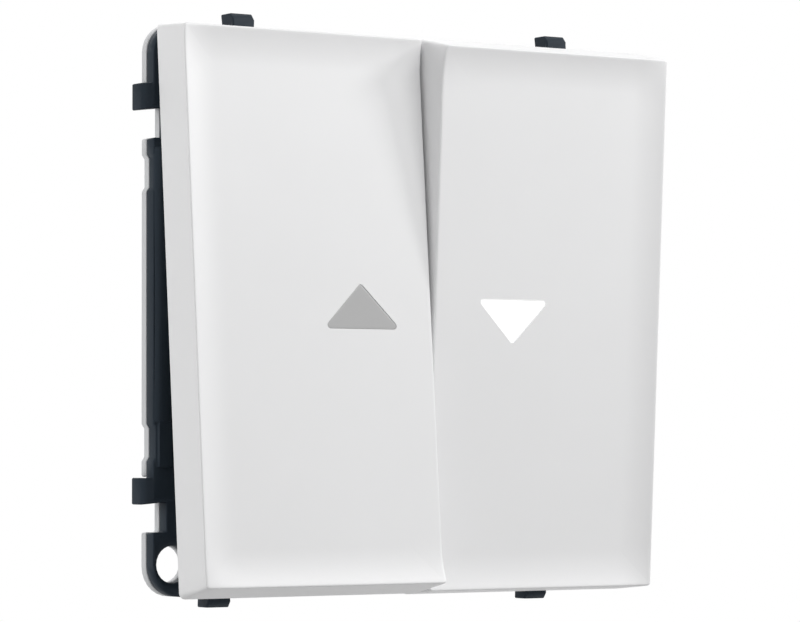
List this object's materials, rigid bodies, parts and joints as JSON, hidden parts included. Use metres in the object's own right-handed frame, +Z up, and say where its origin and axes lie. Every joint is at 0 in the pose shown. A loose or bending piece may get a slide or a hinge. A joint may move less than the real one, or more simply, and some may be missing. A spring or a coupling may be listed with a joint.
{
  "type": "wall switch",
  "caption": "Square light switch insert with paired white rocker keys, small marks, a dark snap-in carrier frame on a pale plate, and a rear housing with screw terminals.",
  "frame": {"origin": "middle of the seat plane, the back of the pale backing plate", "axes": "+X to the right and +Z up as seen from the front, +Y into the wall; the keys face -Y"},
  "size_m": [0.0468, 0.0207, 0.0468],
  "materials": {
    "white_key_plastic": "satin white moulding",
    "pale_grey_plastic": "matt pale grey moulding",
    "slate_plastic": "fine-textured slate grey moulding",
    "graphite_plastic": "matt graphite moulding",
    "natural_plastic": "unpigmented moulding",
    "unlit_light_guide": "translucent, unlit",
    "lit_light_guide": "translucent, lit",
    "board_laminate": "glass-fibre laminate",
    "zinc_steel": "zinc plated",
    "brass": "stamped",
    "copper": "stamped copper alloy"
  },
  "bodies": {
    "base": {"backing_plate": "pale_grey_plastic", "carrier_frame": "slate_plastic", "clamp_common_left": "zinc_steel", "clamp_common_right": "zinc_steel", "clamp_lower_left": "zinc_steel", "clamp_lower_right": "zinc_steel", "clamp_screw_common_left": "zinc_steel", "clamp_screw_common_right": "zinc_steel", "clamp_screw_lower_left": "zinc_steel", "clamp_screw_lower_right": "zinc_steel", "clamp_screw_upper_left": "zinc_steel", "clamp_screw_upper_right": "zinc_steel", "clamp_upper_left": "zinc_steel", "clamp_upper_right": "zinc_steel", "common_terminal_left": "brass", "common_terminal_right": "brass", "housing": "graphite_plastic", "housing_screw_lower_left": "zinc_steel", "housing_screw_lower_right": "zinc_steel", "housing_screw_upper_left": "zinc_steel", "housing_screw_upper_right": "zinc_steel", "lamp_board": "board_laminate", "lamp_left": "pale_grey_plastic", "lamp_pin_left": "brass", "lamp_pin_right": "brass", "lamp_right": "pale_grey_plastic", "lower_terminal_left": "brass", "lower_terminal_right": "brass", "upper_terminal_left": "brass", "upper_terminal_right": "brass"},
    "key_left": {"key_left": "white_key_plastic", "lens_left": "unlit_light_guide", "cradle_left": "natural_plastic", "spring_left": "zinc_steel"},
    "plunger_left": {"plunger_left": "natural_plastic"},
    "seesaw_left": {"seesaw_left": "copper"},
    "key_right": {"key_right": "white_key_plastic", "lens_right": "lit_light_guide", "cradle_right": "natural_plastic", "spring_right": "zinc_steel"},
    "plunger_right": {"plunger_right": "natural_plastic"},
    "seesaw_right": {"seesaw_right": "copper"}
  },
  "joints": [
    {"name": "key_left_rock", "type": "hinge", "parent": "base", "child": "key_left", "pos_m": [-0.01128, -0.00274, -0.00031], "axis": [1, 0, 0], "range_deg": [0, 8.9]},
    {"name": "plunger_left_slide", "type": "slide", "parent": "key_left", "child": "plunger_left", "axis": [0, -0.997, 0.0776], "range_m": [0, 0.001], "stiffness_N_per_m": 100, "deforming": ["spring_left"]},
    {"name": "seesaw_left_rock", "type": "hinge", "parent": "base", "child": "seesaw_left", "pos_m": [-0.01018, 0.0051, -0.00031], "axis": [1, 0, 0], "range_deg": [-13.36, 0]},
    {"name": "key_right_rock", "type": "hinge", "parent": "base", "child": "key_right", "pos_m": [0.01128, -0.00274, -0.00031], "axis": [1, 0, 0], "range_deg": [-6.76, 0]},
    {"name": "plunger_right_slide", "type": "slide", "parent": "key_right", "child": "plunger_right", "axis": [0, -0.9983, -0.059], "range_m": [0, 0.001], "stiffness_N_per_m": 100, "deforming": ["spring_right"]},
    {"name": "seesaw_right_rock", "type": "hinge", "parent": "base", "child": "seesaw_right", "pos_m": [0.01018, 0.0051, -0.00031], "axis": [1, 0, 0], "range_deg": [0, 10.15]}
  ],
  "couplings": [
    {"joint": "seesaw_left_rock", "follows": "key_left_rock", "ratio": -1.5},
    {"joint": "seesaw_right_rock", "follows": "key_right_rock", "ratio": -1.5}
  ]
}
